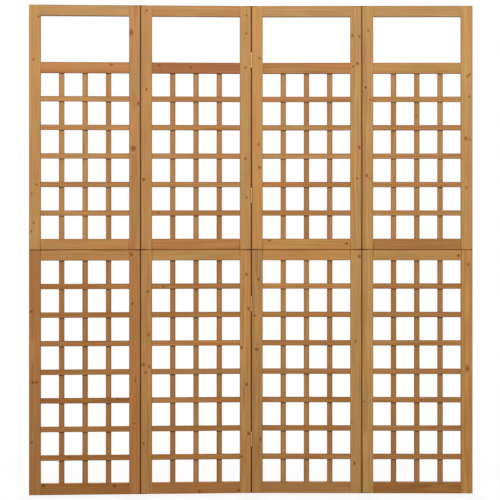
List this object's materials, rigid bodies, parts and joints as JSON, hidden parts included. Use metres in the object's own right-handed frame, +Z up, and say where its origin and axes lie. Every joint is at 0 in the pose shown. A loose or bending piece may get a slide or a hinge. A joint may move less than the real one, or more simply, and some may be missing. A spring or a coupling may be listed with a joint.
{
  "type": "folding lattice room divider",
  "caption": "Free-standing wooden room divider: hinged panels of open lattice that fold like a concertina, each panel with an open window above its lattice and a seam at mid-height.",
  "frame": {"origin": "on the floor, in the middle of the standing divider's length and depth", "axes": "+X to the right seen from the front, +Y to the back, +Z up"},
  "size_m": [1.6332, 0.0426, 1.8],
  "materials": {
    "stained_softwood": "honey stain under satin varnish",
    "tenon_wood": "raw",
    "hinge_steel": "zinc plated, yellow passivated",
    "pin_steel": "bright drawn",
    "screw_steel": "zinc plated, yellow passivated"
  },
  "bodies": {
    "panel_1": {"panel_1_upper_left_stile": "stained_softwood", "panel_1_upper_right_stile": "stained_softwood", "panel_1_lower_left_stile": "stained_softwood", "panel_1_lower_right_stile": "stained_softwood", "panel_1_top_rail": "stained_softwood", "panel_1_window_rail": "stained_softwood", "panel_1_upper_bottom_rail": "stained_softwood", "panel_1_lower_top_rail": "stained_softwood", "panel_1_bottom_rail": "stained_softwood", "panel_1_uprights": "stained_softwood", "panel_1_crossbars": "stained_softwood", "panel_1_loose_tenons": "tenon_wood", "panel_1_hinge_leaves": "hinge_steel", "panel_1_hinge_screws": "screw_steel"},
    "panel_2": {"panel_2_upper_left_stile": "stained_softwood", "panel_2_upper_right_stile": "stained_softwood", "panel_2_lower_left_stile": "stained_softwood", "panel_2_lower_right_stile": "stained_softwood", "panel_2_top_rail": "stained_softwood", "panel_2_window_rail": "stained_softwood", "panel_2_upper_bottom_rail": "stained_softwood", "panel_2_lower_top_rail": "stained_softwood", "panel_2_bottom_rail": "stained_softwood", "panel_2_uprights": "stained_softwood", "panel_2_crossbars": "stained_softwood", "panel_2_loose_tenons": "tenon_wood", "panel_2_hinge_leaves": "hinge_steel", "panel_2_hinge_screws": "screw_steel", "hinge_pins_1_2": "pin_steel", "hinge_pins_2_3": "pin_steel"},
    "panel_3": {"panel_3_upper_left_stile": "stained_softwood", "panel_3_upper_right_stile": "stained_softwood", "panel_3_lower_left_stile": "stained_softwood", "panel_3_lower_right_stile": "stained_softwood", "panel_3_top_rail": "stained_softwood", "panel_3_window_rail": "stained_softwood", "panel_3_upper_bottom_rail": "stained_softwood", "panel_3_lower_top_rail": "stained_softwood", "panel_3_bottom_rail": "stained_softwood", "panel_3_uprights": "stained_softwood", "panel_3_crossbars": "stained_softwood", "panel_3_loose_tenons": "tenon_wood", "panel_3_hinge_leaves": "hinge_steel", "panel_3_hinge_screws": "screw_steel", "hinge_pins_3_4": "pin_steel"},
    "panel_4": {"panel_4_upper_left_stile": "stained_softwood", "panel_4_upper_right_stile": "stained_softwood", "panel_4_lower_left_stile": "stained_softwood", "panel_4_lower_right_stile": "stained_softwood", "panel_4_top_rail": "stained_softwood", "panel_4_window_rail": "stained_softwood", "panel_4_upper_bottom_rail": "stained_softwood", "panel_4_lower_top_rail": "stained_softwood", "panel_4_bottom_rail": "stained_softwood", "panel_4_uprights": "stained_softwood", "panel_4_crossbars": "stained_softwood", "panel_4_loose_tenons": "tenon_wood", "panel_4_hinge_leaves": "hinge_steel", "panel_4_hinge_screws": "screw_steel"}
  },
  "joints": [
    {"name": "fold_1_2", "type": "hinge", "parent": "panel_2", "child": "panel_1", "pos_m": [-0.40877, 0.01304, 0], "axis": [0, 0, -1], "range_deg": [0, 180]},
    {"name": "fold_2_3", "type": "hinge", "parent": "panel_2", "child": "panel_3", "pos_m": [0, -0.00165, 0], "axis": [0, 0, -1], "range_deg": [-3.2, 176.8]},
    {"name": "fold_3_4", "type": "hinge", "parent": "panel_3", "child": "panel_4", "pos_m": [0.40877, 0.01304, 0], "axis": [0, 0, 1], "range_deg": [0, 180]}
  ]
}
